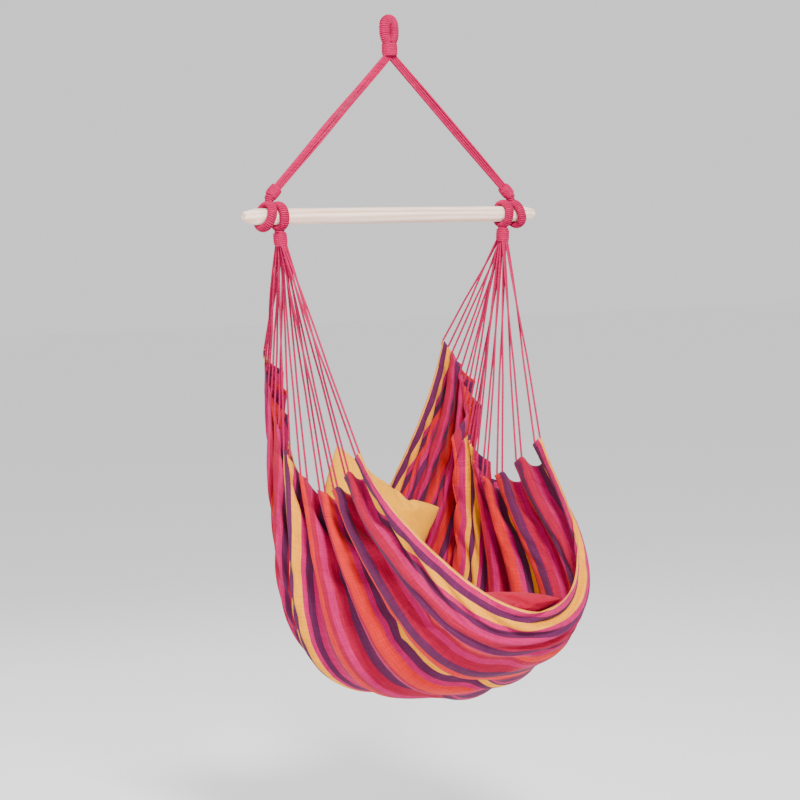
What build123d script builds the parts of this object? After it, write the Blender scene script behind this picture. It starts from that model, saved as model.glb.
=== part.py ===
"""Hanging hammock chair: whipped rope eyes, a spreader bar, two fans of cords, a cloth seat and two cushions.

Frame: +Z up, X along the spreader bar, -Y is the open front of the seat.
Origin: the inside top of the hanging eye, where a ceiling hook bears.
Millimetres throughout.
"""
import os
from math import cos, pi, radians, sin, tan

from build123d import *

# ---- driving dimensions ----
BAR_Z = -452.0                # bar axis below the hook
BAR_LENGTH = 844.0
BAR_RADIUS = 19.0
BAR_TIP_RADIUS = 11.5
BAR_TAPER = 34.0              # length of each tapered tip
BAR_TIP_ROUND = 5.0
SCORE_X = 270.0               # decorative turned grooves
SCORE_DEPTH = 0.8
SCORE_WIDTH = 1.6

ROPE_RADIUS = 2.1             # every cord of the rig
EMBED = 9.0                   # how far a cord runs into its whipping

TOP_EYE_TUBE = 12.0           # radius of the whipped hanging eye
TOP_EYE_SPREAD = 16.5         # half distance between its two legs
TOP_EYE_LEG = 26.0            # straight part of each leg
TOP_EYE_THROAT = 7.0          # half distance of the legs where they enter the neck
TOP_NECK_TOP = -43.0
TOP_NECK_BOTTOM = -73.0
TOP_NECK_RADIUS = 18.0

BAR_EYE_HALF_WIDTH = 10.5     # flattened section of the eyes round the bar, along the bar
BAR_EYE_HALF_DEPTH = 7.0      # and across it
UPPER_EYE_X = 363.0
UPPER_EYE_RING = 28.6         # centre line radius, clear of the bar although the ring leans
UPPER_EYE_TILT = 18.0
LOWER_EYE_X = 327.0
LOWER_EYE_RING = 26.8
LOWER_EYE_TILT = -4.0
UPPER_NECK_FOOT = (349.0, 46.0)    # x and height above the bar axis
UPPER_NECK_HEAD = (329.0, 66.0)
UPPER_NECK_RADIUS = 13.0
LOWER_NECK_HEAD = (325.5, -38.0)
LOWER_NECK_FOOT = (323.0, -68.0)
LOWER_NECK_RADIUS = 15.5
NECK_BARREL = 1.06            # swelling of a whipping at its middle

LEG_COLUMNS = 4               # parallel cords in each suspension leg
LEG_ROWS = 2
LEG_END_PITCH = 4.4
LEG_MIDDLE_PITCH = 6.0
LEG_HEAD_X = 9.0
LEG_BEND_DROP = 5.0           # below the neck, where a leg turns towards the bar
LEG_BEND_RADIUS = 12.0
LEG_MIDDLE_RADIUS = 1500.0
CORD_COLUMNS = 5              # cords are packed in the lower neck as five columns of four
CORD_ROWS = 4
CORD_PITCH = 4.5
BIGHT_HALF = 6.5              # half width of the loop that a cord makes through its eyelet
BIGHT_RADIUS = 4.6            # radius of its two bends
BIGHT_DROP = 12.0             # how far the loop reaches below the ear
CORNER_INSET = 12.0           # the corner eyelets sit this far in from the cloth's free edges

CLOTH_THICKNESS = 5.0         # cloth, its gathers and hems, as one smooth shell
HEM_RISE = 8.0                # cloth above the point where a cord pulls
EYELET_GAP = 0.4              # room round a cord in its eyelet

# Ears, front to back, where each cord pulls on the cloth: x, y, height from the bar axis.
EARS = [
    (260.0, -201.0, -556.0),
    (250.0, -140.0, -603.0),
    (240.0, -74.0, -640.0),
    (238.0, -13.0, -652.0),
    (252.0, 44.0, -622.0),
    (270.0, 86.0, -566.0),
    (281.0, 111.0, -490.0),
    (284.0, 132.0, -415.0),
    (279.0, 154.0, -362.0),
    (269.0, 175.0, -329.0),
]
# Under each pair of ears: y and height of the lowest point of the cloth, and how square its U is.
BELLY = [
    (-504.0, -911.0, 1.80),
    (-480.0, -985.0, 2.70),
    (-376.0, -1060.0, 2.90),
    (-249.0, -1118.0, 2.80),
    (-114.0, -1152.0, 2.60),
    (26.0, -1156.0, 2.40),
    (151.0, -1118.0, 2.15),
    (234.0, -1040.0, 1.80),
    (266.0, -945.0, 1.50),
    (271.0, -855.0, 1.25),
]
U_POINTS = 9                  # points that shape each U, both ends included

CUSHION_FACE = 0.72           # size of a cushion's flat face against its seam
CUSHION_CORNER = 80.0
SEAT_CUSHION_SIZE = 340.0
SEAT_CUSHION_THICKNESS = 78.0
SEAT_CUSHION_CENTRE = (0.0, -214.0, -955.0)
SEAT_CUSHION_TILT = 14.0      # degrees about X, front edge up
BACK_CUSHION_SIZE = 370.0
BACK_CUSHION_THICKNESS = 100.0
BACK_CUSHION_CENTRE = (-18.0, 100.0, -800.0)
BACK_CUSHION_ROLL = 28.0      # degrees in its own plane, left corner up
BACK_CUSHION_LEAN = 16.0      # degrees from upright
BACK_CUSHION_TURN = 8.0       # degrees about Z

SIDES = {"left": -1, "right": 1}


def above_bar(x, y, height):
    """A point given by its height from the bar axis."""
    return Vector(x, y, BAR_Z + height)


def save(solid, name):
    """Label a finished piece and write it as its own STEP file."""
    solid.label = name
    export_step(solid, f"parts/{name}.step")


def tube_along(points, corner, radius):
    """A plain round tube along straight runs with rounded corners."""
    with BuildPart() as tube:
        with BuildLine() as route:
            FilletPolyline(*points, radius=corner)
        with BuildSketch(Plane(origin=points[0], z_dir=points[1] - points[0])):
            Circle(radius)
        sweep(path=route.wires()[0])
    return tube.part


def spreader_bar():
    """Turned wooden bar with tapered, rounded tips and two score lines."""
    half = BAR_LENGTH / 2
    groove = SCORE_WIDTH / 2
    with BuildPart() as bar:
        with BuildSketch(Plane.XZ.offset(0)):
            with BuildLine():
                Polyline(
                    (0, 0),
                    (half, 0),
                    (half, BAR_TIP_RADIUS),
                    (half - BAR_TAPER, BAR_RADIUS),
                    (SCORE_X + groove, BAR_RADIUS),
                    (SCORE_X, BAR_RADIUS - SCORE_DEPTH),
                    (SCORE_X - groove, BAR_RADIUS),
                    (0, BAR_RADIUS),
                    close=True,
                )
            make_face()
            mirror(about=Plane.YZ)
        revolve(axis=Axis.X)
        tips = bar.faces().filter_by(GeomType.PLANE).edges()
        fillet(tips, BAR_TIP_ROUND)
    return bar.part.moved(Location((0, 0, BAR_Z)))


def top_eye():
    """Rope eye over the hook: two legs and a half circle, drawn together at the neck."""
    crown = -TOP_EYE_TUBE - TOP_EYE_SPREAD + 2 * TOP_EYE_TUBE
    foot = crown - TOP_EYE_LEG
    with BuildPart() as eye:
        with BuildLine() as bend:
            leg = Line((-TOP_EYE_SPREAD, 0, foot), (-TOP_EYE_SPREAD, 0, crown))
            over = ThreePointArc(leg @ 1, (0, 0, TOP_EYE_TUBE), (TOP_EYE_SPREAD, 0, crown))
            Line(over @ 1, (TOP_EYE_SPREAD, 0, foot))
        with BuildSketch(Plane(origin=(-TOP_EYE_SPREAD, 0, foot))):
            Circle(TOP_EYE_TUBE)
        sweep(path=bend.wires()[0])
        for side in SIDES.values():
            with BuildSketch(Plane(origin=(side * TOP_EYE_SPREAD, 0, foot))) as wide:
                Circle(TOP_EYE_TUBE)
            with BuildSketch(Plane(origin=(side * TOP_EYE_THROAT, 0, TOP_NECK_TOP))) as narrow:
                Circle(TOP_EYE_TUBE - 2)
            loft(sections=[wide.sketch.face(), narrow.sketch.face()])
    return eye.part


def neck(foot, head, radius):
    """A whipped neck: a short barrel between two points."""
    axis = head - foot
    middle = (foot + head) / 2
    with BuildPart() as barrel:
        for place, size in ((foot, 1), (middle, NECK_BARREL), (head, 1)):
            with BuildSketch(Plane(origin=place, z_dir=axis)):
                Circle(radius * size)
        loft()
    return barrel.part


def bar_eye(side, x, ring, tilt, neck_start, neck_end, neck_radius):
    """A flattened ring round the bar with a stem that meets its neck."""
    centre = above_bar(side * x, 0, 0)
    lean = Plane(origin=centre, x_dir=(0, 1, 0), z_dir=(0, 0, 1)).rotated((0, -side * tilt, 0))
    towards_neck = 1 if neck_start.Z > BAR_Z else -1
    crown = centre + lean.z_dir * ring * towards_neck
    with BuildPart() as eye:
        with BuildSketch(Plane(origin=centre, x_dir=lean.x_dir, z_dir=lean.z_dir)):
            with Locations((ring, 0)):
                Ellipse(BAR_EYE_HALF_DEPTH, BAR_EYE_HALF_WIDTH)
        revolve(axis=Axis(centre, lean.y_dir))
        with BuildSketch(Plane(origin=crown, z_dir=neck_start - crown)) as root:
            Circle(BAR_EYE_HALF_DEPTH)
        with BuildSketch(Plane(origin=neck_start, z_dir=neck_end - neck_start)) as shoulder:
            Circle(neck_radius - 1)
        loft(sections=[root.sketch.face(), shoulder.sketch.face()])
    return eye.part


def suspension_leg(side):
    """Parallel cords from the hanging eye's neck to the upper neck, a little loose at mid length."""
    head = Vector(side * LEG_HEAD_X, 0, TOP_NECK_BOTTOM - LEG_BEND_DROP)
    foot = above_bar(side * UPPER_NECK_HEAD[0], 0, UPPER_NECK_HEAD[1])
    along = (foot - head).normalized()
    across = along.cross(Vector(0, side, 0))
    bend = radians(along.get_angle(Vector(0, 0, -1)))
    middle = (head + foot) / 2
    strands = []
    for column in range(LEG_COLUMNS):
        for row in range(LEG_ROWS):
            outward = column - (LEG_COLUMNS - 1) / 2
            level = Vector(0, row - (LEG_ROWS - 1) / 2, 0)
            entry = Vector(side * outward, 0, 0) + level
            out = across * outward + level
            turn = head + entry * LEG_END_PITCH + Vector(0, 0, outward * LEG_END_PITCH * tan(bend / 2))
            points = [
                Vector(turn.X, turn.Y, TOP_NECK_BOTTOM + EMBED),
                turn,
                middle + out * LEG_MIDDLE_PITCH,
                foot + along * EMBED + out * LEG_END_PITCH,
            ]
            strands.append(tube_along(points, [LEG_BEND_RADIUS, LEG_MIDDLE_RADIUS], ROPE_RADIUS))
    return Compound(children=strands)


def eyelet(number):
    """Where a right-hand cord passes through the hem, and the way straight out of the cloth there."""
    ear = Vector(*EARS[number])
    before = Vector(*EARS[max(number - 1, 0)])
    after = Vector(*EARS[min(number + 1, len(EARS) - 1)])
    belly_y, belly_height, _ = BELLY[number]
    up = (ear - Vector(0, belly_y, belly_height)).normalized()
    up = Vector(0, up.Y, up.Z).normalized()
    if number == 0:
        ear = ear + (after - ear).normalized() * CORNER_INSET
    if number == len(EARS) - 1:
        ear = ear + (before - ear).normalized() * CORNER_INSET
    outward = up.cross(after - before).normalized()
    outward = outward * (1 if outward.X > 0 else -1)
    return ear - outward * CLOTH_THICKNESS / 2 - up * BIGHT_DROP, outward


def cord_route(side, number):
    """Down from the lower neck, through the eyelet at one ear and back up: four corner points."""
    column = number * CORD_COLUMNS // len(EARS)
    partner = number + 1 if number % 2 == 0 else number - 1
    first_row = 0 if EARS[number][0] < EARS[partner][0] else CORD_ROWS // 2
    hole, outward = eyelet(number)
    ends = []
    for row in (first_row, first_row + 1):
        x = LOWER_NECK_FOOT[0] + (row - (CORD_ROWS - 1) / 2) * CORD_PITCH
        y = (column - (CORD_COLUMNS - 1) / 2) * CORD_PITCH
        ends.append(Vector(x, y, LOWER_NECK_FOOT[1] + EMBED))
    corners = [ends[0], hole - outward * BIGHT_HALF, hole + outward * BIGHT_HALF, ends[1]]
    return [above_bar(side * point.X, point.Y, point.Z) for point in corners]


def seat_cord(side, number):
    """One cord of the fan: two strands joined by a loop through the hem."""
    return tube_along(cord_route(side, number), BIGHT_RADIUS, ROPE_RADIUS)


def u_curve(half_width, depth, fullness):
    """Points of a hanging U from one side to the other, in its own plane."""
    points = []
    for step in range(U_POINTS):
        turn = pi * step / (U_POINTS - 1)
        wide = abs(cos(turn)) ** (2 / fullness)
        deep = abs(sin(turn)) ** (2 / fullness)
        side = -1 if turn < pi / 2 else 1
        points.append((side * wide * half_width, -deep * depth))
    return points


def seat_cloth():
    """The gathered seat: one U of cloth under each pair of ears, lofted from front to back, with eyelets."""
    eyelets = [
        tube_along(cord_route(side, number), BIGHT_RADIUS, ROPE_RADIUS + EYELET_GAP)
        for side in SIDES.values()
        for number in range(len(EARS))
    ]
    with BuildPart() as cloth:
        for (x, y, height), (belly_y, belly_height, fullness) in zip(EARS, BELLY):
            top = above_bar(0, y, height)
            drop = above_bar(0, belly_y, belly_height) - top
            up = drop.normalized() * -1
            plane = Plane(origin=top + up * HEM_RISE, x_dir=(1, 0, 0), z_dir=Vector(1, 0, 0).cross(up))
            depth = drop.length + HEM_RISE
            with BuildSketch(plane):
                with BuildLine():
                    outer = Spline(*u_curve(x, depth, fullness))
                    inner = Spline(*u_curve(x - CLOTH_THICKNESS, depth - CLOTH_THICKNESS, fullness))
                    Line(outer @ 0, inner @ 0)
                    Line(outer @ 1, inner @ 1)
                make_face()
        loft()
        add(eyelets, mode=Mode.SUBTRACT)
    return cloth.part


def cushion(plane, size, thickness):
    """A filled square cushion: full at its middle, thin at the seam."""
    with BuildPart() as body:
        for height, scale in ((-0.5, CUSHION_FACE), (0, 1), (0.5, CUSHION_FACE)):
            with BuildSketch(plane.offset(height * thickness)):
                RectangleRounded(size * scale, size * scale, CUSHION_CORNER * scale)
        loft()
    return body.part


def seat_cushion():
    """The cushion that lies in the seat, its front edge raised."""
    plane = Plane(above_bar(*SEAT_CUSHION_CENTRE)).rotated((-SEAT_CUSHION_TILT, 0, 0))
    return cushion(plane, SEAT_CUSHION_SIZE, SEAT_CUSHION_THICKNESS)


def back_cushion():
    """The cushion that leans on the back, one corner up."""
    lean = Plane(above_bar(*BACK_CUSHION_CENTRE)).rotated((90 - BACK_CUSHION_LEAN, 0, BACK_CUSHION_TURN))
    plane = Plane(lean.location * Location((0, 0, 0), (0, 0, -BACK_CUSHION_ROLL)))
    return cushion(plane, BACK_CUSHION_SIZE, BACK_CUSHION_THICKNESS)


def main():
    os.makedirs("parts", exist_ok=True)
    save(spreader_bar(), "spreader_bar")
    save(top_eye(), "top_eye")
    save(neck(Vector(0, 0, TOP_NECK_BOTTOM), Vector(0, 0, TOP_NECK_TOP), TOP_NECK_RADIUS), "top_neck_whipping")
    for name, side in SIDES.items():
        upper_foot = above_bar(side * UPPER_NECK_FOOT[0], 0, UPPER_NECK_FOOT[1])
        upper_head = above_bar(side * UPPER_NECK_HEAD[0], 0, UPPER_NECK_HEAD[1])
        lower_foot = above_bar(side * LOWER_NECK_FOOT[0], 0, LOWER_NECK_FOOT[1])
        lower_head = above_bar(side * LOWER_NECK_HEAD[0], 0, LOWER_NECK_HEAD[1])
        save(suspension_leg(side), f"{name}_suspension_cords")
        save(neck(upper_foot, upper_head, UPPER_NECK_RADIUS), f"{name}_upper_whipping")
        save(
            bar_eye(side, UPPER_EYE_X, UPPER_EYE_RING, UPPER_EYE_TILT, upper_foot, upper_head, UPPER_NECK_RADIUS),
            f"{name}_upper_eye",
        )
        save(
            bar_eye(side, LOWER_EYE_X, LOWER_EYE_RING, LOWER_EYE_TILT, lower_head, lower_foot, LOWER_NECK_RADIUS),
            f"{name}_lower_eye",
        )
        save(neck(lower_foot, lower_head, LOWER_NECK_RADIUS), f"{name}_lower_whipping")
        for number in range(len(EARS)):
            save(seat_cord(side, number), f"{name}_cord_{number + 1:02d}")
    save(seat_cloth(), "seat_cloth")
    save(seat_cushion(), "seat_cushion")
    save(back_cushion(), "back_cushion")


main()
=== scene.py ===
"""Looks of a hanging hammock chair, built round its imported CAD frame. Metres, +Z up, -Y is the open front."""
import math

import bpy
import numpy as np
from mathutils import Matrix, Vector


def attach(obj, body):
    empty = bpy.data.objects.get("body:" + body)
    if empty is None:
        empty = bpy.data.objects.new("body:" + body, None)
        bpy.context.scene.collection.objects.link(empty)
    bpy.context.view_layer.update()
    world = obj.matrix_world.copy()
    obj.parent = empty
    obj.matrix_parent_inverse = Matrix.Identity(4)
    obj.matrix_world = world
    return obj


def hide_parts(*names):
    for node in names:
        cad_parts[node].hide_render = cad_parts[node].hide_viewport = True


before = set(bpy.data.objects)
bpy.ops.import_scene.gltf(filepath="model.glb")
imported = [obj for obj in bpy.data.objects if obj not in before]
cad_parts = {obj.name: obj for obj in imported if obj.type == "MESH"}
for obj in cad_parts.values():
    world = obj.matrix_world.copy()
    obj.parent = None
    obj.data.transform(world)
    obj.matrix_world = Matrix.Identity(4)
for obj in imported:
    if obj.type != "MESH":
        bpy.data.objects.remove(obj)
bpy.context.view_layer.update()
random = np.random.default_rng(7)

# ---- driving dimensions, as in the CAD part ----
BAR_Z = -0.452
ROPE_RADIUS = 0.0025
EMBED = 0.009
SIDES = {"left": -1, "right": 1}
UPPER_EYE = {"x": 0.363, "ring": 0.0286, "tilt": 18.0}
LOWER_EYE = {"x": 0.327, "ring": 0.0268, "tilt": -4.0}
EYE_HALF_WIDTH = 0.0122
EYE_HALF_DEPTH = 0.0083
UPPER_NECK = {"foot": (0.349, 0.046), "head": (0.329, 0.066), "radius": 0.0145}
LOWER_NECK = {"foot": (0.323, -0.068), "head": (0.3255, -0.038), "radius": 0.0155}
TOP_NECK = {"foot": -0.073, "head": -0.043, "radius": 0.018}
TOP_EYE_TUBE = 0.0125
TOP_EYE_SPREAD = 0.0160
TOP_EYE_LEG = 0.026
TOP_EYE_THROAT = 0.007
TOP_EYE_TURN = 12.0           # degrees about Z
NECK_BARREL = 1.06
LEG_COLUMNS, LEG_ROWS = 4, 2
LEG_END_PITCH, LEG_MIDDLE_PITCH = 0.0047, 0.0055
LEG_HEAD_X, LEG_BEND_DROP = 0.009, 0.005
CORD_COLUMNS, CORD_ROWS, CORD_PITCH = 5, 4, 0.0045
CORD_HALF = 0.0105            # half distance of a cord's two strands where they enter the hem
CORD_TURN = 0.6               # share of its length over which they turn to face along the hem
CORD_DEEP = 0.012             # how far its loop reaches inside the hem
WINDING = 0.0023              # radius of the cord wound round the eyes
TOP_WINDING = 0.0022          # and round the hanging eye
EYE_TURNS, TOP_EYE_TURNS = 40, 33
STEM_PITCH = 0.0045           # of the turns between an eye and its neck
STEM_CORE_ROOM = 0.0018       # between the stem's core and its turns
WINDING_INSET = 0.85          # how deep a turn's centre lies under the outside, in its own radii
NECK_TURN_SHARE = 0.56        # radius of a neck's turns against their pitch
THROAT_SLIM = 0.002           # how much thinner the hanging eye's rope is at its throat
LEG_SLACK, LEG_WAVE, CORD_BOW = 0.0012, 0.0006, 0.0016   # how far cords stray from straight
EYE_STEP, WINDING_STEP, LEG_STEP, CORD_STEP = 0.0015, 0.0014, 0.0016, 0.0018   # of the points along a line
HEM_RISE = 0.008

# Ears, front to back, where each cord pulls on the cloth: x, y, height from the bar axis.
EARS = np.array([
    (0.260, -0.201, -0.556), (0.250, -0.140, -0.603), (0.240, -0.074, -0.640), (0.238, -0.013, -0.652),
    (0.252, 0.044, -0.622), (0.270, 0.086, -0.566), (0.281, 0.111, -0.490), (0.284, 0.132, -0.415),
    (0.279, 0.154, -0.362), (0.269, 0.175, -0.329),
])
# Under each pair of ears: y and height of the lowest point of the cloth, how square the left and right halves
# of its U are, and how far back the lower left flank sways.
BELLY = np.array([
    (-0.506, -0.911, 1.80, 2.25, 0.000), (-0.484, -0.985, 2.70, 3.00, 0.000), (-0.378, -1.058, 2.95, 3.10, 0.005),
    (-0.236, -1.114, 3.05, 3.00, 0.010), (-0.092, -1.142, 3.30, 2.90, 0.025), (0.052, -1.139, 3.60, 2.70, 0.036),
    (0.168, -1.100, 2.85, 2.50, 0.026), (0.234, -1.036, 2.10, 2.00, 0.012), (0.266, -0.945, 1.55, 1.60, 0.004),
    (0.271, -0.855, 1.25, 1.30, 0.000),
])

# ---- the cloth, cut flat ----
CLOTH_LENGTH = 1.20           # along the stripes, from side hem to side hem
CLOTH_WIDTH = 1.12            # across the stripes, from front edge to back edge
CORNER_INSET = 0.012          # of the corner cords from the free edges
CLOTH_THICKNESS = 0.0011
HEM_DEPTH = 0.055             # the side hem is turned in and sewn this far down
HEM_THICKNESS = 0.0026
TUNNEL_THICKNESS = 0.0064     # of the hem where a cord runs inside it
TUNNEL_HALF, TUNNEL_FROM, TUNNEL_LENGTH = 0.0155, 0.004, 0.016   # half width, start and length of that swelling
HEM_STEP = 0.0016             # over which the hem thins out to the single cloth
GRID_ALONG, GRID_ACROSS = 155, 157
SETTLE_STEPS, QUICK_STEPS = 120, 12
SPARE_CLOTH = 1.5             # how much wider than cut the cloth may get in a pleat
PILLOW_ROOM = 0.005           # between the cloth and a cushion
GRAVITY, PAUSE, SPEED_KEPT, LINK_PASSES, SMOOTHINGS = 9.81, 0.01, 0.93, 5, 4
# Links between grid points: how many points they reach, and how firm they are.
THREAD_LINKS, LONG_LINKS, BEND_LINKS, WIDE_LINKS = (1, 1.0), (6, 0.12), (2, 0.16), (4, 0.02)
DIAGONAL_FIRMNESS = 0.15
# How firmly the cloth is drawn to its sewn shape at each step: beside the hems, more so at the belly, and along the
# free edges; how far down the hem's own firmness holds, and over what length it rises to the belly's.
HEM_FIRMNESS, BELLY_FIRMNESS, EDGE_FIRMNESS = 0.015, 0.11, 0.07
HEM_DEPTH_FREE, FIRM_REACH = 0.06, 0.28
STITCH_PITCH, STITCH_LENGTH, STITCH_RADIUS = 0.0042, 0.0030, 0.00038
STITCH_ROWS = (0.003, 0.009)  # how far from the inner edge of the hem
SELVEDGES = {"front": (0, 0.0012), "back": (-1, 0.0014)}   # column of the grid, and radius
PLEAT_DEPTH = 0.052
HEM_DIP, HEM_DIP_REACH = 0.024, 0.14   # how far the hem sags between two ears, and how far down that is felt
PLEAT_REACH = 0.34            # how far down the pleats between the ears die out
PLEAT_POWER, FADE_POWER = 1.6, 1.5     # how sharp a pleat's floor is, and how suddenly it dies out
SWAY_POWER = 2.5              # how low on the flank the sway is felt most
# Each pleat, front to back: its share of that depth, inward if positive, and of that reach.
PLEATS = {
    "left": np.array([(0.8, 0.9), (1.2, 1.5), (1.5, 2.1), (1.3, 1.7), (1.1, 1.3), (1.0, 1.1), (0.9, 0.8),
                      (1.0, 0.9), (0.8, 0.7)]),
    "right": np.array([(-1.1, 1.0), (-0.9, 1.0), (-1.1, 1.2), (-1.3, 1.5), (-1.1, 1.0), (1.0, 1.1), (-1.0, 0.8),
                       (-1.2, 1.2), (-0.9, 0.8)]),
}
EAR_HALF_WIDTH = 0.0145       # of the flat tab of hem at each ear

# Stripes from the front edge to the back edge: colour and width in millimetres.
STRIPES = (
    "gold 3, pink 13, purple 15, yellow 20, orange 3, pink 12, purple 17, pink 20, crimson 21, purple 17, "
    "pink 11, crimson 6, orange 21, crimson 12, pink 12, crimson 14, purple 24, orange 17, crimson 7, purple 10, "
    "pink 9, purple 10, yellow 17, purple 10, pink 11, orange 30, crimson 8, pink 10, purple 18, pink 14, "
    "purple 18, crimson 16, pink 15, crimson 13, orange 21, pink 5, purple 13, crimson 10, pink 22, purple 11, "
    "pink 10, yellow 20, purple 14, yellow 15, pink 12, orange 24, crimson 18, purple 10, pink 18, crimson 18, "
    "orange 16, crimson 8, pink 14, purple 20, orange 30, crimson 10, pink 12, crimson 22, purple 18, pink 10, "
    "orange 26, crimson 12, purple 14, pink 10, crimson 20, purple 16, pink 12, orange 14, purple 16, pink 10, "
    "yellow 20, purple 14, gold 7"
)
COLOURS = {
    "gold": (0.86, 0.34, 0.02), "pink": (0.43, 0.002, 0.092), "purple": (0.085, 0.012, 0.055),
    "yellow": (0.84, 0.31, 0.0015), "crimson": (0.33, 0.0008, 0.031), "orange": (0.58, 0.012, 0.013),
}
CAMERA = {"yaw": 35, "pitch": 3, "roll": -1.71, "distance": 5.67, "target": (0, 0, -0.895), "sensor": 36,
          "lens": 106.25}
# Lamps that aim at the middle of the seat: place, diameter and power.
SEAT_MIDDLE = (0, -0.1, -0.9)
LAMPS = {
    "key": ((-1.4, -3.9, 2.2), 1.2, 520), "fill": ((-3.8, -0.6, 0.8), 3.0, 75), "rim": ((0.6, 3.0, 1.6), 2.4, 70),
}
FLOOR_HALF, FLOOR_Z, FLOOR_SHADE = 60.0, -2.05, 0.96
ROPE_COLOUR, WEFT_COLOUR = (0.40, 0.0008, 0.060), (0.28, 0.003, 0.045)
WOOD_COLOURS = {"dark": (0.70, 0.46, 0.33), "pale": (0.95, 0.69, 0.57), "pink": (0.90, 0.72, 0.65)}
NOISE_SPAN = (0.3, 0.7)       # what a noise field mostly stays within
SEAT_CUSHION = {"size": 0.362, "thick": 0.094, "centre": (0.0, -0.228, -0.944), "tilt": 14.0}
SQUASH_FROM, SQUASH_ROOM = 0.215, 0.020   # the cloth presses a cushion's corners in from here, by all but this
CORNER_TUCK = 0.07            # how much shorter a cushion's diagonals are than a square's
COVER_COUNT = 57              # points along each side of a cushion cover
COVER_EASE = 1.13             # how much wider the flat cover is than the filled cushion
COVER_DOME, COVER_RIPPLE = 0.030, 0.0009   # height it starts with, and of its ripples
BLOW_FRAMES, QUICK_BLOW_FRAMES, LAST_FRAME = 34, 12, 40
COVER_CLOTH = {
    "quality": 6, "mass": 0.12, "tension_stiffness": 18, "compression_stiffness": 12, "shear_stiffness": 4,
    "bending_stiffness": 0.15, "tension_damping": 12, "use_pressure": True, "uniform_pressure_force": 3.2,
    "air_damping": 3,
}
BACK_CUSHION = {"size": 0.360, "thick": 0.108, "centre": (-0.038, 0.098, -0.772), "lean": 16.0, "roll": 34.0}


# ---------------------------------------------------------------- camera, light, floor
def put(name, data):
    """A new object with this data, in the scene."""
    item = bpy.data.objects.new(name, data)
    bpy.context.scene.collection.objects.link(item)
    return item


def place_camera():
    """Camera at the front left, a little above the seat, turned a little about its own axis."""
    yaw, pitch, roll = (math.radians(CAMERA[key]) for key in ("yaw", "pitch", "roll"))
    ahead = Vector((math.sin(yaw) * math.cos(pitch), math.cos(yaw) * math.cos(pitch), -math.sin(pitch)))
    aside = Vector((math.cos(yaw), -math.sin(yaw), 0))
    above = aside.cross(ahead)
    right = aside * math.cos(roll) + above * math.sin(roll)
    up = above * math.cos(roll) - aside * math.sin(roll)
    data = bpy.data.cameras.new("camera")
    data.sensor_width, data.lens = CAMERA["sensor"], CAMERA["lens"]
    camera = bpy.context.scene.camera = put("camera", data)
    camera.matrix_world = Matrix((right, up, -ahead)).transposed().to_4x4()
    camera.location = Vector(CAMERA["target"]) - ahead * CAMERA["distance"]


def light_the_set():
    """A pale room, a soft key from the upper front, a weaker fill from the left and a rim light from behind."""
    for name, (place, size, power) in LAMPS.items():
        data = bpy.data.lights.new(name, "AREA")
        data.shape, data.size, data.energy = "DISK", size, power
        lamp = put(name, data)
        lamp.location = place
        lamp.rotation_euler = (Vector(SEAT_MIDDLE) - Vector(place)).to_track_quat("-Z", "Y").to_euler()
    world = bpy.context.scene.world = bpy.data.worlds.new("studio")
    world.use_nodes = True
    background = world.node_tree.nodes["Background"]
    background.inputs["Color"].default_value = (1, 1, 1, 1)
    background.inputs["Strength"].default_value = 1.0


def lay_floor():
    """A plain pale floor, wide enough to fill the view."""
    mesh = bpy.data.meshes.new("floor")
    corners = [(x * FLOOR_HALF, y * FLOOR_HALF, FLOOR_Z) for x, y in ((-1, -1), (1, -1), (1, 1), (-1, 1))]
    mesh.from_pydata(corners, [], [(0, 1, 2, 3)])
    mesh.materials.append(new_material("floor_paint", (FLOOR_SHADE,) * 3, 0.9)[0])
    put("floor", mesh)


# ---------------------------------------------------------------- materials
def new_material(name, colour, roughness):
    """A material with a plain principled shader, the shader itself and the node tree."""
    material = bpy.data.materials.new(name)
    material.use_nodes = True
    tree = material.node_tree
    shader = tree.nodes["Principled BSDF"]
    shader.inputs["Base Color"].default_value = (*colour, 1)
    shader.inputs["Roughness"].default_value = roughness
    return material, shader, tree


def feed(tree, socket, value):
    """Links a socket to another node's output, or gives it a plain value."""
    if isinstance(value, bpy.types.NodeSocket):
        tree.links.new(value, socket)
    else:
        socket.default_value = value


def add_node(tree, kind, settings=None, **inputs):
    """A shader node with its properties, and inputs that are numbers or other nodes' outputs."""
    node = tree.nodes.new(kind)
    for key, value in (settings or {}).items():
        setattr(node, key, value)
    for key, value in inputs.items():
        feed(tree, node.inputs[int(key[1:]) if key[1:].isdigit() else key], value)
    return node


def calculate(tree, operation, first, second=0.0):
    return add_node(tree, "ShaderNodeMath", {"operation": operation}, i0=first, i1=second).outputs[0]


def product(tree, value, *others):
    """The product of several fields."""
    for other in others:
        value = calculate(tree, "MULTIPLY", value, other)
    return value


def mix_colours(tree, blend, share, first, second):
    settings = {"data_type": "RGBA", "blend_type": blend}
    return add_node(tree, "ShaderNodeMix", settings, i0=share, i6=first, i7=second).outputs[2]


def dress(tree, shader, colour, tone, roughness, gloss, relief, strength):
    """Gives the shader a colour made lighter or darker by a field, a roughness, a gloss and a relief in metres."""
    tone_colour = add_node(tree, "ShaderNodeCombineColor", i0=tone, i1=tone, i2=tone).outputs[0]
    tree.links.new(mix_colours(tree, "MULTIPLY", 1.0, colour, tone_colour), shader.inputs["Base Color"])
    tree.links.new(roughness, shader.inputs["Roughness"])
    for name, value in zip(("Sheen Weight", "Sheen Roughness", "Specular IOR Level"), gloss):
        shader.inputs[name].default_value = value
    bump = add_node(tree, "ShaderNodeBump", Strength=strength, Distance=1.0, Height=relief)
    tree.links.new(bump.outputs[0], shader.inputs["Normal"])


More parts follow.
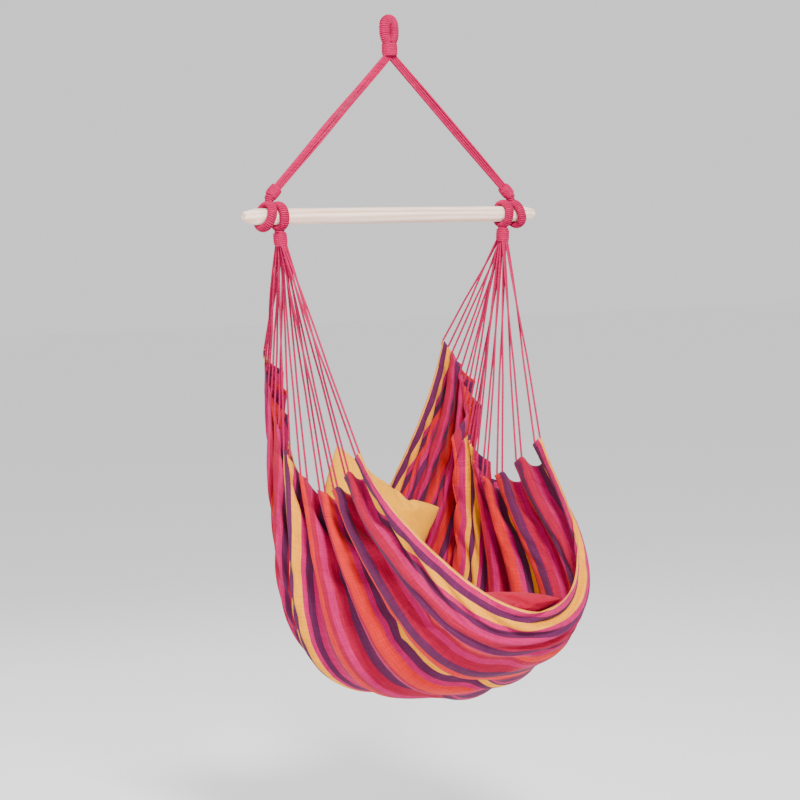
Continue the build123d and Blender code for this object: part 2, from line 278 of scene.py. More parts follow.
def uv_axes(tree):
    """The two coordinates of the piece's own map, in metres."""
    uv = add_node(tree, "ShaderNodeUVMap", {"uv_map": "flat"})
    apart = add_node(tree, "ShaderNodeSeparateXYZ", i0=uv.outputs[0])
    return uv.outputs[0], apart.outputs[0], apart.outputs[1]


def noise(tree, place, scale, detail=2.0, stretch=(1, 1, 1)):
    mapping = add_node(tree, "ShaderNodeMapping", Vector=place, Scale=stretch)
    field = add_node(tree, "ShaderNodeTexNoise", Vector=mapping.outputs[0], Scale=scale, Detail=detail)
    return field.outputs[0]


def level(tree, value, low, high, to_low, to_high):
    return add_node(tree, "ShaderNodeMapRange", i0=value, i1=low, i2=high, i3=to_low, i4=to_high).outputs[0]


def uneven(tree, place, low, high, scale, detail=2, stretch=(1, 1, 1)):
    """Noise that wanders between two values."""
    return level(tree, noise(tree, place, scale, detail, stretch), *NOISE_SPAN, low, high)


def plain_weave(tree, along, across, pitch):
    """Height of a plain weave: warp and weft threads that pass over each other in turn."""
    warp, weft = (calculate(tree, "SINE", product(tree, place, math.pi / pitch)) for place in (across, along))
    over = product(tree, warp, weft)
    rounded = calculate(tree, "ADD", calculate(tree, "ABSOLUTE", warp), calculate(tree, "ABSOLUTE", weft))
    return calculate(tree, "ADD", over, product(tree, rounded, 0.5)), over


def woven_relief(tree, weave, weave_height, crease, crease_height):
    return calculate(tree, "ADD", product(tree, weave, weave_height), product(tree, crease, crease_height))


def stripe_colours(tree, across):
    """The striped warp: every stripe is a step of a colour ramp, with as many ramps as the stripes need."""
    bands = [band.split() for band in STRIPES.split(", ")]
    total = sum(float(width) for _, width in bands)
    edges = np.cumsum([0] + [float(width) / total for _, width in bands])
    per_ramp = 30
    position = calculate(tree, "DIVIDE", across, CLOTH_WIDTH)
    colour = None
    for first in range(0, len(bands), per_ramp):
        ramp = add_node(tree, "ShaderNodeValToRGB", Fac=position)
        ramp.color_ramp.interpolation = "CONSTANT"
        group = bands[first:first + per_ramp]
        for index, (name, _) in enumerate(group):
            start = edges[first + index] if index else 0.0
            elements = ramp.color_ramp.elements
            element = elements[index] if index < 2 else elements.new(start)
            element.position = start
            element.color = (*COLOURS[name], 1)
        if colour is None:
            colour = ramp.outputs[0]
        else:
            past = calculate(tree, "GREATER_THAN", position, edges[first])
            colour = mix_colours(tree, "MIX", past, colour, ramp.outputs[0])
    return colour


def striped_cloth_material():
    """Striped cotton: coloured warp, pinkish weft, uneven yarn and a plain weave."""
    material, shader, tree = new_material("striped_cotton", (0.6, 0.1, 0.1), 0.85)
    uv, along, across = uv_axes(tree)
    wander = uneven(tree, uv, -0.0006, 0.0006, 26, 2, (1, 0.2, 1))
    colour = stripe_colours(tree, calculate(tree, "ADD", across, wander))
    height, over = plain_weave(tree, along, across, 0.0013)
    colour = mix_colours(tree, "MIX", level(tree, over, 0.15, 0.9, 0.0, 0.30), colour, (*WEFT_COLOUR, 1))
    yarn = uneven(tree, uv, 0.82, 1.12, 420, 2, (0.06, 1, 1))
    slub = uneven(tree, uv, 0.90, 1.08, 300, 2, (1, 0.08, 1))
    tone = product(tree, yarn, slub, uneven(tree, uv, 0.93, 1.06, 9, 3))
    relief = woven_relief(tree, height, 0.00022, noise(tree, uv, 34, 3, (0.5, 1.4, 1)), 0.0016)
    dress(tree, shader, colour, tone, level(tree, tone, 0.7, 1.2, 0.95, 0.72), (0.06, 0.45, 0.12), relief, 0.75)
    return material


def plain_cloth_material(name, colour, pitch, stretch):
    """Plain woven cotton with uneven yarn and small creases."""
    material, shader, tree = new_material(name, colour, 0.85)
    uv, along, across = uv_axes(tree)
    height, over = plain_weave(tree, along, across, pitch)
    warp = uneven(tree, uv, 0.88, 1.08, 500, 2, (0.05, 1, 1))
    weft = uneven(tree, uv, 0.90, 1.06, 500, 2, (1, 0.05, 1))
    tone = product(tree, warp, weft, uneven(tree, uv, 0.94, 1.05, 11, 3, stretch))
    relief = woven_relief(tree, height, 0.0002, noise(tree, uv, 30, 3, stretch), 0.0018)
    dress(tree, shader, (*colour, 1), tone, level(tree, over, -1, 1, 0.92, 0.78), (0.08, 0.4, 0.12), relief, 0.7)
    return material


def rope_material(name, colour):
    """Dyed cotton yarn: fine fibres along each ply, with uneven tone of its own and painted shade that makes the
    grooves of their relief darker.
    """
    material, shader, tree = new_material(name, colour, 0.8)
    uv = uv_axes(tree)[0]
    fibres = noise(tree, uv, 260, 3, (1.0, 0.25, 1))
    # painted shade: the fibre noise also sets the relief, so the colour is darker where the relief is low, in the
    # grooves; the slow second field is the yarn's own uneven tone
    tone = product(tree, level(tree, fibres, *NOISE_SPAN, 0.74, 1.16), uneven(tree, uv, 0.90, 1.08, 7))
    roughness = level(tree, fibres, *NOISE_SPAN, 0.9, 0.65)
    dress(tree, shader, (*colour, 1), tone, roughness, (0.08, 0.35, 0.15), product(tree, fibres, 0.0006), 0.6)
    return material


def wood_material():
    """Pale sanded softwood: grain along the bar, pores, and a slightly pinkish figure."""
    material, shader, tree = new_material("pale_wood", (0.8, 0.66, 0.5), 0.55)
    place = add_node(tree, "ShaderNodeTexCoord").outputs["Object"]
    figure = noise(tree, place, 9, 3, (0.25, 3.0, 3.0))
    rings = add_node(tree, "ShaderNodeTexWave", {"wave_type": "BANDS", "bands_direction": "Z"},
                     Vector=add_node(tree, "ShaderNodeMapping", Vector=place, Scale=(0.08, 1.0, 1.0)).outputs[0],
                     Scale=24, Distortion=5.0, Detail=3, **{"Detail Scale": 0.9}).outputs[0]
    pores = noise(tree, place, 420, 3, (0.03, 1, 1))
    ramp = add_node(tree, "ShaderNodeValToRGB", Fac=rings)
    for element, colour in zip(ramp.color_ramp.elements, (WOOD_COLOURS["dark"], WOOD_COLOURS["pale"])):
        element.color = (*colour, 1)
    flush = level(tree, figure, 0.35, 0.7, 0.0, 0.5)
    blush = mix_colours(tree, "MIX", flush, ramp.outputs[0], (*WOOD_COLOURS["pink"], 1))
    roughness = level(tree, pores, *NOISE_SPAN, 0.62, 0.42)
    relief = product(tree, pores, 0.0005)
    dress(tree, shader, blush, level(tree, pores, 0.3, 0.65, 0.82, 1.04), roughness, (0, 0.5, 0.4), relief, 0.5)
    return material


# ---------------------------------------------------------------- meshes
class Surface:
    """Quads and end caps gathered into one mesh, with a flat map in metres."""

    def __init__(self):
        self.points, self.quads, self.quad_maps, self.caps, self.cap_maps, self.count = [], [], [], [], [], 0

    def add(self, points, quads, maps, caps=()):
        self.points.append(points)
        self.quads.append(quads + self.count)
        self.quad_maps.append(maps)
        for cap in caps:
            self.caps.append(np.asarray(cap) + self.count)
        self.count += len(points)

    def piece(self, name, material):
        points = np.concatenate(self.points).astype(np.float32)
        quads = np.concatenate(self.quads)
        maps = np.concatenate(self.quad_maps).reshape(-1, 2)
        corners = [quads.ravel()] + self.caps
        sizes = [4] * len(quads) + [len(cap) for cap in self.caps]
        indices = np.concatenate(corners).astype(np.int32)
        maps = np.concatenate([maps, np.zeros((len(indices) - len(maps), 2))]).astype(np.float32)
        mesh = bpy.data.meshes.new(name)
        mesh.vertices.add(len(points))
        mesh.vertices.foreach_set("co", points.ravel())
        mesh.loops.add(len(indices))
        mesh.loops.foreach_set("vertex_index", indices)
        mesh.polygons.add(len(sizes))
        mesh.polygons.foreach_set("loop_start", np.concatenate([[0], np.cumsum(sizes)[:-1]]).astype(np.int32))
        mesh.polygons.foreach_set("use_smooth", np.ones(len(sizes), bool))
        mesh.update(calc_edges=True)
        mesh.uv_layers.new(name="flat").data.foreach_set("uv", maps.ravel())
        mesh.materials.append(material)
        return put(name, mesh)


def unit(vectors):
    """The same directions, of length one."""
    return vectors / np.linalg.norm(vectors, axis=-1, keepdims=True)


def lengths_along(line):
    """How far along a line each of its points is."""
    return np.concatenate([[0], np.cumsum(np.linalg.norm(np.diff(line, axis=0), axis=1))])


def between(start, end, share):
    """Points on the straight run from start to end."""
    return np.outer(1 - share, start) + np.outer(share, end)


def resampled(points, step):
    """The same line with its points evenly spaced."""
    lengths = lengths_along(points)
    at = np.linspace(0, lengths[-1], max(int(round(lengths[-1] / step)), 4) + 1)
    return np.stack([np.interp(at, lengths, values) for values in points.T], axis=1)


def smooth_line(points, step, turns=3):
    """A line through corner points with its corners rounded by repeated cutting (Chaikin)."""
    line = np.asarray(points, float)
    for _ in range(turns):
        near = line[:-1] * 0.75 + line[1:] * 0.25
        far = line[:-1] * 0.25 + line[1:] * 0.75
        inner = np.stack([near, far], axis=1).reshape(-1, 3)
        line = np.concatenate([line[:1], inner[1:-1] if len(inner) > 2 else inner, line[-1:]])
    return resampled(line, step)


def frames_along(line):
    """Two unit normals at each point of a line, carried along without twisting."""
    tangent = unit(np.gradient(line, axis=0))
    start = np.cross(tangent[0], (0.0, 0.0, 1.0))
    if np.linalg.norm(start) < 0.1:
        start = np.cross(tangent[0], (0.0, 1.0, 0.0))
    normal = np.empty_like(line)
    current = unit(start)
    for index, ahead in enumerate(tangent):
        current = current - ahead * (current @ ahead)
        current = current / math.sqrt(current @ current)
        normal[index] = current
    return normal, np.cross(tangent, normal)


def quad_corners(grid):
    """The four corners of every cell of a grid."""
    return [grid[:-1, :-1], grid[1:, :-1], grid[1:, 1:], grid[:-1, 1:]]


def tube_quads(rings, around):
    """Quads between neighbouring rings of a closed tube, the rings' part of the map, and the end caps."""
    ring, spoke = np.meshgrid(np.arange(rings - 1), np.arange(around), indexing="ij")
    following = (spoke + 1) % around
    quads = np.stack([ring * around + spoke, ring * around + following, (ring + 1) * around + following,
                      (ring + 1) * around + spoke], axis=-1).reshape(-1, 4)
    corners = np.stack([np.stack([spoke, ring], -1), np.stack([spoke + 1, ring], -1),
                        np.stack([spoke + 1, ring + 1], -1), np.stack([spoke, ring + 1], -1)], axis=-2)
    caps = [np.arange(around)[::-1], np.arange(around) + (rings - 1) * around]
    return quads, corners.reshape(-1, 4, 2).astype(float), caps


def add_laid_cord(surface, line, radius, step, lay=0.013, plies=3, groove=0.24, around=12, phase=0.0):
    """A cord of twisted plies along a line: its section is a rounded clover that turns along the line."""
    line = resampled(line, step)
    normal, side = frames_along(line)
    along = lengths_along(line)
    angle = np.arange(around) * 2 * math.pi / around
    ply = np.abs(np.sin((angle - (along[:, None] / lay) * 2 * math.pi + phase) * plies / 2))
    reach = radius * (1 - groove + groove * ply * (2 - ply))
    ring = normal[:, None] * np.cos(angle)[:, None] + side[:, None] * np.sin(angle)[:, None]
    quads, maps, caps = tube_quads(len(line), around)
    at = maps[..., 1].astype(int)
    u = maps[..., 0] * 2 * math.pi * radius / around - (along / lay * 2 * math.pi * radius)[at]
    points = (line[:, None] + ring * reach[..., None]).reshape(-1, 3)
    surface.add(points, quads, np.stack([u, along[at]], axis=-1), caps)


def add_core(surface, line, axes, halves, around=16, closed=False, map_scale=0.004):
    """A smooth tube with an elliptical section, given by two axes and two half widths along its line."""
    angle = np.arange(around) * 2 * math.pi / around
    points = line[:, None] + sum(
        np.broadcast_to(axis, line.shape)[:, None] * (wave * np.broadcast_to(half, len(line))[:, None])[..., None]
        for axis, half, wave in zip(axes, halves, (np.cos(angle), np.sin(angle))))
    points = points.reshape(-1, 3)
    quads, maps, caps = tube_quads(len(line), around)
    if closed:
        quads = np.where(quads // around == len(line) - 1, quads % around, quads)
        points, caps = points[:-around], []
    surface.add(points, quads, maps * map_scale, caps)


def add_whipping(surface, line, axes, halves, turns, thick, room, trim=0, **core):
    """Whipping: a core that leaves some room, and one cord wound round and round it, each turn beside the last."""
    add_core(surface, line, axes, [half - room for half in halves], **core)
    wound_part = slice(trim, len(line) - trim)
    fine = np.linspace(0, 1, int(turns * 40))
    at = np.linspace(0, 1, len(line) - 2 * trim)

    def along(values, shape):
        columns = np.broadcast_to(values, shape)[wound_part].reshape(len(at), -1).T
        return np.stack([np.interp(fine, at, column) for column in columns], axis=1)

    spin = fine * turns * 2 * math.pi
    wound = along(line, line.shape)
    for axis, half, wave in zip(axes, halves, (np.cos(spin), np.sin(spin))):
        reach = wave[:, None] * (along(half, len(line)) - thick * WINDING_INSET)
        wound = wound + along(axis, line.shape) * reach
    add_laid_cord(surface, wound, thick, WINDING_STEP, lay=0.011, groove=0.2, around=9)


# ---------------------------------------------------------------- rope work
def above_bar(x, y, height):
    return np.array([x, y, BAR_Z + height])


def whipped_neck(name, foot, head, radius, body, turns):
    """A neck bound with cord: a barrel of turns between two points."""
    share = np.linspace(0, 1, 25)
    axis = unit(head - foot)
    first = unit(np.cross(axis, (0.0, 1.0, 0.0)))
    swell = radius * (1 + (NECK_BARREL - 1) * np.sin(share * math.pi))
    thick = np.linalg.norm(head - foot) / turns * NECK_TURN_SHARE
    surface = Surface()
    add_whipping(surface, between(foot, head, share), (first, np.cross(axis, first)), (swell, swell), turns, thick,
                 thick * 1.1, trim=1)
    finish_piece(surface.piece(name, materials["whipping"]), body, "whipping_cord", name)


def finish_piece(piece, body, slot, *replaced):
    piece.name = "wound_" + piece.name if piece.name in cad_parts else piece.name
    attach(piece, body)
    if replaced:
        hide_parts(*replaced)


def bar_eye(name, side, eye, neck, towards, body):
    """A flattened, whipped loop round the bar, and the stem that carries it into its neck."""
    tilt = math.radians(side * eye["tilt"])
    centre = above_bar(side * eye["x"], 0, 0)
    upright = np.array([-math.sin(tilt), 0, math.cos(tilt)])
    level_axis = np.array([0.0, 1.0, 0.0])
    turn = np.linspace(0, 2 * math.pi, 145)
    radial = np.outer(np.cos(turn), level_axis) + np.outer(np.sin(turn), upright)
    surface = Surface()
    add_whipping(surface, centre + radial * eye["ring"], (radial, np.cross(level_axis, upright)),
                 (EYE_HALF_DEPTH, EYE_HALF_WIDTH), EYE_TURNS, WINDING, WINDING, closed=True)
    crown = centre + upright * eye["ring"] * towards
    start = above_bar(side * neck[0], 0, neck[1])
    share = np.linspace(0, 1, 13)
    width = EYE_HALF_DEPTH + (neck[2] - 0.001 - EYE_HALF_DEPTH) * share
    turns = max(int(np.linalg.norm(start - crown) / STEM_PITCH), 2)
    stem_axes = (np.cross(unit(start - crown), level_axis), level_axis)
    add_whipping(surface, between(crown, start, share), stem_axes, (width, width), turns, WINDING, STEM_CORE_ROOM)
    finish_piece(surface.piece(name, materials["whipping"]), body, "whipping_cord", name)


def top_eye():
    """The hanging eye: a whipped rope bent double, its legs drawn together at the neck."""
    crown = TOP_EYE_TUBE - TOP_EYE_SPREAD
    arc = np.linspace(math.pi, 0, 41)
    over = np.stack([np.cos(arc) * TOP_EYE_SPREAD, arc * 0, crown + np.sin(arc) * TOP_EYE_SPREAD], axis=1)
    legs = [np.array([(side * TOP_EYE_THROAT, 0, TOP_NECK["head"]), (side * TOP_EYE_SPREAD, 0, crown - TOP_EYE_LEG)])
            for side in (-1, 1)]
    line = smooth_line(np.concatenate([legs[0], over, legs[1][::-1]]), EYE_STEP, 2)
    normal = np.array([0.0, 1.0, 0.0])
    outward = np.cross(normal, unit(np.gradient(line, axis=0)))
    share = np.linspace(0, 1, len(line))
    slim = np.clip(np.minimum(share, 1 - share) * 8, 0, 1)
    radius = TOP_EYE_TUBE - THROAT_SLIM * (1 - slim)
    turn = np.array(Matrix.Rotation(math.radians(TOP_EYE_TURN), 3, "Z")).T
    surface = Surface()
    add_whipping(surface, line @ turn, (outward @ turn, normal @ turn), (radius, radius), TOP_EYE_TURNS,
                 TOP_WINDING, TOP_WINDING, around=20)
    finish_piece(surface.piece("top_eye", materials["whipping"]), "suspension", "whipping_cord", "top_eye")


def suspension_leg(name, side):
    """Eight cords from the hanging eye's neck to the upper neck, a little loose and crossing at mid length."""
    head = np.array([side * LEG_HEAD_X, 0, TOP_NECK["foot"] - LEG_BEND_DROP])
    foot = above_bar(side * UPPER_NECK["head"][0], 0, UPPER_NECK["head"][1])
    along = unit(foot - head)
    across = np.cross(along, (0.0, side, 0.0))
    bend = math.acos(-along[2])
    share = np.linspace(0, 1, 40)[:, None]
    swell = np.sin(share * math.pi)
    surface = Surface()
    for column in range(LEG_COLUMNS):
        for row in range(LEG_ROWS):
            outward = column - (LEG_COLUMNS - 1) / 2
            level_offset = np.array([0, row - (LEG_ROWS - 1) / 2, 0])
            turn = head + (np.array([side * outward, 0, 0]) + level_offset) * LEG_END_PITCH
            turn = turn + np.array([0, 0, outward * LEG_END_PITCH * math.tan(bend / 2)])
            top = np.array([turn[0], turn[1], TOP_NECK["foot"] + EMBED])
            out = across * outward + level_offset
            last = foot + along * EMBED + out * LEG_END_PITCH
            slack = random.uniform(-1, 1, 2) * LEG_SLACK
            wave = np.sin(share * math.pi * 3 + random.uniform(0, 6)) * LEG_WAVE
            run = turn + (last - turn) * share + out * (LEG_MIDDLE_PITCH - LEG_END_PITCH) * swell
            run = run + (across * (slack[0] + wave) + np.array([0, 1, 0]) * (slack[1] + wave)) * swell
            line = np.concatenate([resampled(np.stack([top, turn]), 0.003)[:-1], run])
            add_laid_cord(surface, smooth_line(line, LEG_STEP, 1), ROPE_RADIUS, LEG_STEP,
                          phase=random.uniform(0, 6))
    finish_piece(surface.piece(name, materials["rope"]), "suspension", "rope", name)


def seat_cord(name, side, number, hem_top, hem_side):
    """One cord of the fan: two strands that part steadily from the lower neck to the hem at one ear."""
    column = number * CORD_COLUMNS // len(EARS)
    partner = number + 1 if number % 2 == 0 else number - 1
    first_row = 0 if EARS[number][0] < EARS[partner][0] else CORD_ROWS // 2
    y = (column - (CORD_COLUMNS - 1) / 2) * CORD_PITCH
    rows = [first_row - (CORD_ROWS - 1) / 2 + strand for strand in (0, 1)]
    starts = [above_bar(side * (LOWER_NECK["foot"][0] + row * CORD_PITCH), y, LOWER_NECK["foot"][1] + EMBED)
              for row in rows]
    middle = (starts[0] + starts[1]) / 2
    down, across = unit(hem_top - middle), unit(hem_side)
    first = (starts[1] - starts[0]) / 2
    first = first - down * (first @ down)
    gap = np.linalg.norm(first)
    first /= gap
    second = np.cross(down, first)
    share = np.linspace(0, 1, 60)
    angle = math.atan2(across @ second, across @ first) * np.clip(share / CORD_TURN, 0, 1)
    half = np.outer(np.cos(angle), first) + np.outer(np.sin(angle), second)
    half = half * (gap + (CORD_HALF - gap) * share)[:, None]
    bow = random.uniform(-1, 1, 3) * CORD_BOW
    straight = middle + np.outer(share, hem_top - middle) + np.outer(np.sin(share * math.pi), bow)
    deep = [hem_top + down * CORD_DEEP + across * CORD_HALF * turn * 0.7 for turn in (1, -1)]
    route = np.concatenate([straight + half, deep, (straight - half)[::-1]])
    surface = Surface()
    add_laid_cord(surface, smooth_line(route, CORD_STEP, 2), ROPE_RADIUS, CORD_STEP, phase=random.uniform(0, 6))
    finish_piece(surface.piece(name, materials["rope"]), "seat", "rope", name)


# ---------------------------------------------------------------- the cloth
def hermite(at, positions, values):
    """A smooth curve through values at given positions (Catmull-Rom tangents)."""
    slopes = np.gradient(values, positions, axis=0)
    index = np.clip(np.searchsorted(positions, at) - 1, 0, len(positions) - 2)
    span = (positions[index + 1] - positions[index])[:, None]
    t = ((at - positions[index])[:, None]) / span
    a, b = values[index], values[index + 1]
    ta, tb = slopes[index] * span, slopes[index + 1] * span
    return ((2 * t ** 3 - 3 * t ** 2 + 1) * a + (t ** 3 - 2 * t ** 2 + t) * ta
            + (3 * t ** 2 - 2 * t ** 3) * b + (t ** 3 - t ** 2) * tb)


def ear_positions():
    """How far across the flat cloth each ear is."""
    return np.linspace(CORNER_INSET, CLOTH_WIDTH - CORNER_INSET, len(EARS))


def taut_shape(along, across):
    """The cloth as the ears and the belly hold it, before its spare width is folded in, and its outward normals."""
    places = ear_positions()
    ears = hermite(across, places, EARS)
    belly = hermite(across, places, BELLY)
    turn = np.linspace(0, math.pi, 401)
    surface = np.empty((len(along), len(across), 3))
    for j, (ear_x, *ear_place) in enumerate(ears):
        low_y, low_height, full_left, full_right, sway = belly[j]
        top = above_bar(0, *ear_place)
        drop = above_bar(0, low_y, low_height) - top
        fall = np.linalg.norm(drop)
        depth = fall + HEM_RISE
        fullness = np.where(turn < math.pi / 2, full_left, full_right)
        wide = -np.sign(np.cos(turn)) * np.abs(np.cos(turn)) ** (2 / fullness) * ear_x
        deep = np.abs(np.sin(turn)) ** (2 / fullness) * depth - HEM_RISE
        length = lengths_along(np.stack([wide, deep], axis=1))
        at = along / CLOTH_LENGTH * length[-1]
        x, d = np.interp(at, length, wide), np.interp(at, length, deep)
        surface[:, j] = top + np.outer(d, drop / fall)
        surface[:, j, 0] = x
        surface[:, j, 1] += np.where(x < 0, sway, 0) * np.sin(np.clip(d / depth, 0, 1) ** SWAY_POWER * math.pi)
    normal = grid_normals(surface)
    outward = surface - surface.mean(axis=(0, 1))
    return surface, normal * np.sign((normal * outward).sum(axis=2).mean())


def pleated_shape(along, across):
    """The taut shape with a pleat folded in between each two ears, and with the ears spread flat."""
    surface, normal = taut_shape(along, across)
    places = ear_positions()
    from_hem = np.minimum(along, CLOTH_LENGTH - along)[:, None]
    gap = np.clip(np.searchsorted(places, across) - 1, 0, len(places) - 2)
    phase = (across - places[gap]) / (places[gap + 1] - places[gap])
    tab = EAR_HALF_WIDTH / (places[1] - places[0])
    valley = np.sin(np.clip((phase - tab) / (1 - 2 * tab), 0, 1) * math.pi) ** PLEAT_POWER
    left = (along < CLOTH_LENGTH / 2)[:, None, None]
    depth, reach = np.moveaxis(np.where(left, PLEATS["left"][gap], PLEATS["right"][gap]), -1, 0)
    fold = PLEAT_DEPTH * depth * np.exp(-(from_hem / (PLEAT_REACH * reach)) ** FADE_POWER) * valley
    down = unit(np.gradient(surface, axis=0) * np.where(left, 1, -1))
    dip = HEM_DIP * valley * np.exp(-(from_hem / HEM_DIP_REACH) ** 2)
    return surface - normal * fold[..., None] + down * dip[..., None], surface


def pull(points, weights, pair_a, pair_b, rest, firmness):
    """Moves the two ends of every link of one family towards their rest length."""
    a, b = points[pair_a], points[pair_b]
    wa, wb = weights[pair_a], weights[pair_b]
    gap = b - a
    length = np.sqrt((gap * gap).sum(-1)) + 1e-9
    share = firmness * (length - rest) / length / np.maximum(wa + wb, 1e-9)
    points[pair_a] = a + gap * (share * wa)[..., None]
    points[pair_b] = b - gap * (share * wb)[..., None]


def link_families(rows, columns, step_along, step_across):
    """Links between grid points, in families whose links share no point: ends, rest lengths and firmness."""
    whole = slice(None)
    families = []

    def along_stripes(reach, firmness):
        for start in range(2 * reach):
            first = np.arange(start, rows - reach, 2 * reach)
            if len(first):
                families.append(((first, whole), (first + reach, whole), reach * step_along[None, :], firmness))

    def across_stripes(reach, firmness):
        for start in range(2 * reach):
            first = np.arange(start, columns - reach, 2 * reach)
            if len(first):
                rest = sum(step_across[:, first + shift] for shift in range(reach))
                families.append(((whole, first), (whole, first + reach), rest, firmness))

    along_stripes(*THREAD_LINKS)
    across_stripes(*THREAD_LINKS)
    diagonal = np.hypot(step_along[None, :-1], step_across)
    for start in (0, 1):
        first = np.arange(start, rows - 1, 2)
        for a, b in ((slice(0, -1), slice(1, None)), (slice(1, None), slice(0, -1))):
            families.append(((first, a), (first + 1, b), diagonal[first], DIAGONAL_FIRMNESS))
    along_stripes(*LONG_LINKS)
    across_stripes(*BEND_LINKS)
    across_stripes(*WIDE_LINKS)
    return families


def pillow_inside(points, pillow, margin):
    """Pushes points out of a cushion, taken as a rounded square lens."""
    centre, turn, half, thick = pillow
    local = (points - centre) @ turn
    reach, rise = half + margin, thick + margin
    u, v, w = np.abs(local[..., 0]) / reach, np.abs(local[..., 1]) / reach, local[..., 2] / rise
    square = (u ** 5 + v ** 5) ** 0.2
    inside = square ** 3 + w * w < 1
    if not inside.any():
        return points
    pushed = local[inside]
    pushed[:, 2] = np.where(pushed[:, 2] > 0, 1, -1) * np.sqrt(np.clip(1 - square[inside] ** 3, 0, 1)) * rise
    moved = points.copy()
    moved[inside] = pushed @ turn.T + centre
    return moved


def ear_anchors(taut, across):
    """The grid points that the cords hold, spread flat at each ear, and where they are held."""
    held, places = [], []
    spread = int(round(EAR_HALF_WIDTH / across[1]))
    for place in ear_positions():
        middle = min(max(int(round(place / across[1])), 1), len(across) - 2)
        columns = [c for c in range(middle - spread, middle + spread + 1) if 0 <= c < len(across)]
        for rim, inward in ((0, 1), (len(taut) - 1, -1)):
            sideways = taut[rim, min(middle + 3, len(across) - 1)] - taut[rim, max(middle - 3, 0)]
            sideways /= np.linalg.norm(sideways)
            for row in (rim, rim + inward, rim + 2 * inward):
                for column in columns:
                    held.append((row, column))
                    places.append(taut[row, middle] + sideways * (column - middle) * across[1])
    return tuple(np.array(held).T), np.array(places)


def settle(goal, taut, across, steps, pillows):
    """Relaxes the pleated cloth under its own weight: it keeps its cut size, hangs from its ears, lies round the
    cushions, and is drawn to its sewn shape, weakly beside the hems and firmly at the belly and the free edges."""
    rows, columns = goal.shape[:2]
    points = goal.copy()
    speed = np.zeros_like(points)
    weights = np.ones((rows, columns))
    fixed, anchor = ear_anchors(taut, across)
    weights[fixed] = 0
    step_along = np.linalg.norm(np.diff(taut, axis=0), axis=2).sum(axis=0) / (rows - 1)
    pleated = np.minimum(np.linalg.norm(np.diff(goal, axis=1), axis=2), across[1] * SPARE_CLOTH)
    step_across = np.maximum(np.maximum(np.linalg.norm(np.diff(taut, axis=1), axis=2), across[1]), pleated)
    families = link_families(rows, columns, step_along, step_across)
    from_hem = np.minimum(np.arange(rows), rows - 1 - np.arange(rows)) * CLOTH_LENGTH / (rows - 1)
    below_hem = np.clip((from_hem - HEM_DEPTH_FREE) / FIRM_REACH, 0, 1)[:, None]
    firm = HEM_FIRMNESS + BELLY_FIRMNESS * below_hem ** 1.3
    from_edge = np.minimum(across, CLOTH_WIDTH - across)[None, :]
    firm = np.maximum(firm, EDGE_FIRMNESS * np.exp(-(from_edge / 0.05) ** 2) * np.ones((rows, 1)))[..., None]
    for _ in range(steps):
        before = points.copy()
        speed[..., 2] -= GRAVITY * PAUSE
        speed *= SPEED_KEPT
        points = points + speed * PAUSE
        points += (goal - points) * firm
        points[fixed] = anchor
        for _ in range(LINK_PASSES):
            for pair_a, pair_b, rest, firmness in families:
                pull(points, weights, pair_a, pair_b, rest, firmness)
        for pillow in pillows:
            points = pillow_inside(points, pillow, PILLOW_ROOM)
        points[fixed] = anchor
        speed = (points - before) / PAUSE
    for _ in range(SMOOTHINGS):
        smoother = points.copy()
        smoother[1:-1] = points[1:-1] * 0.5 + (points[:-2] + points[2:]) * 0.25
        smoother[fixed] = anchor
        points = smoother
    return points


def refined(grid, times):
    """The same grid with more points between its columns, on smooth curves."""
    count = grid.shape[1]
    new = np.linspace(0, count - 1, (count - 1) * times + 1)
    dense = hermite(new, np.arange(count, dtype=float), np.moveaxis(grid, 1, 0).reshape(count, -1))
    return np.moveaxis(dense.reshape(len(new), len(grid), 3), 0, 1)


def grid_normals(grid):
    normal = np.cross(np.gradient(grid, axis=0), np.gradient(grid, axis=1))
    return normal / (np.linalg.norm(normal, axis=2, keepdims=True) + 1e-12)


def cloth_thickness(along, across):
    """Half thickness over the cloth: single, doubled in the side hems, swollen where a cord runs in the hem."""
    from_hem = np.minimum(along, CLOTH_LENGTH - along)[:, None]
    hem = 1 / (1 + np.exp((from_hem - HEM_DEPTH) / HEM_STEP))
    half = CLOTH_THICKNESS / 2 + (HEM_THICKNESS - CLOTH_THICKNESS) / 2 * hem
    nearest = np.abs(across[:, None] - ear_positions()[None, :]).min(axis=1)[None, :]
    past = np.maximum(from_hem - TUNNEL_FROM, 0)
    cord = np.exp(-(nearest / TUNNEL_HALF) ** 4) * np.exp(-(past / TUNNEL_LENGTH) ** 4)
    return half + (TUNNEL_THICKNESS - HEM_THICKNESS) / 2 * cord


def cloth_shell(grid, along, across, half):
    """A closed sheet: two layers joined all round its edge."""
    lift = grid_normals(grid) * half[..., None]
    points = np.concatenate([layer.reshape(-1, 3) for layer in (grid + lift, grid - lift)])
    layer_size = grid.shape[0] * grid.shape[1]
    here = np.arange(layer_size).reshape(grid.shape[:2])
    quads = np.stack(quad_corners(here), axis=-1).reshape(-1, 4)
    flat = np.stack(np.meshgrid(along, across, indexing="ij"), axis=-1).reshape(-1, 2)
    edge = np.concatenate([here[0], here[1:, -1], here[-1, -2::-1], here[-2:0:-1, 0]])
    following = np.roll(edge, -1)
    rim = np.stack([edge, following, following + layer_size, edge + layer_size], axis=-1)
    all_quads = np.concatenate([quads, quads[:, ::-1] + layer_size, rim])
    surface = Surface()
    surface.add(points, all_quads, flat[all_quads % layer_size])
    return surface


